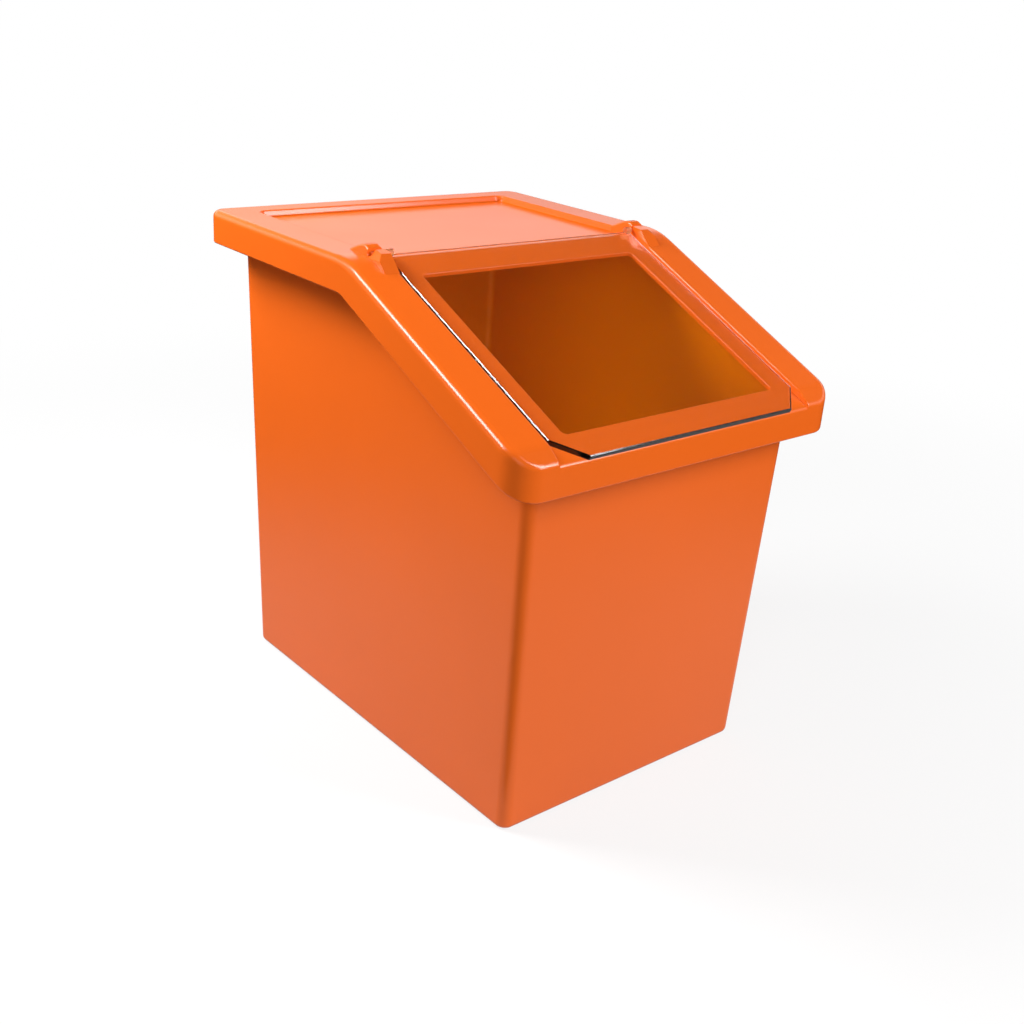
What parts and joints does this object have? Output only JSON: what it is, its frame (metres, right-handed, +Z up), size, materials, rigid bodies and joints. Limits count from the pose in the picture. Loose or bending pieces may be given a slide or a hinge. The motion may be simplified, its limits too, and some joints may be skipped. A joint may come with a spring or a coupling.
{
  "type": "ingredient bin",
  "caption": "Tapered food bin with a lift-off hood, level behind and sloping in front, whose scoop opening is closed by a clear hinged flap.",
  "frame": {"origin": "centre of the tub's flat base, on the floor", "axes": "+X across the width, -Y towards the front with the sloping flap, +Z up"},
  "size_m": [0.3802, 0.4838, 0.4774],
  "materials": {
    "orange_polyethylene": "satin gloss moulded polyethylene",
    "clear_polycarbonate": "clear polished sheet"
  },
  "bodies": {
    "tub": {"tub": "orange_polyethylene"},
    "hood": {"hood": "orange_polyethylene"},
    "flap": {"flap": "clear_polycarbonate", "hinge_pin_left": "orange_polyethylene", "hinge_pin_right": "orange_polyethylene"}
  },
  "joints": [
    {"name": "hood_lift", "type": "slide", "parent": "tub", "child": "hood", "axis": [0, 0, 1], "range_m": [0, 0.15]},
    {"name": "flap_hinge", "type": "hinge", "parent": "hood", "child": "flap", "pos_m": [0, -0.00203, 0.4705], "axis": [-1, 0, 0], "range_deg": [0, 204.3]}
  ]
}
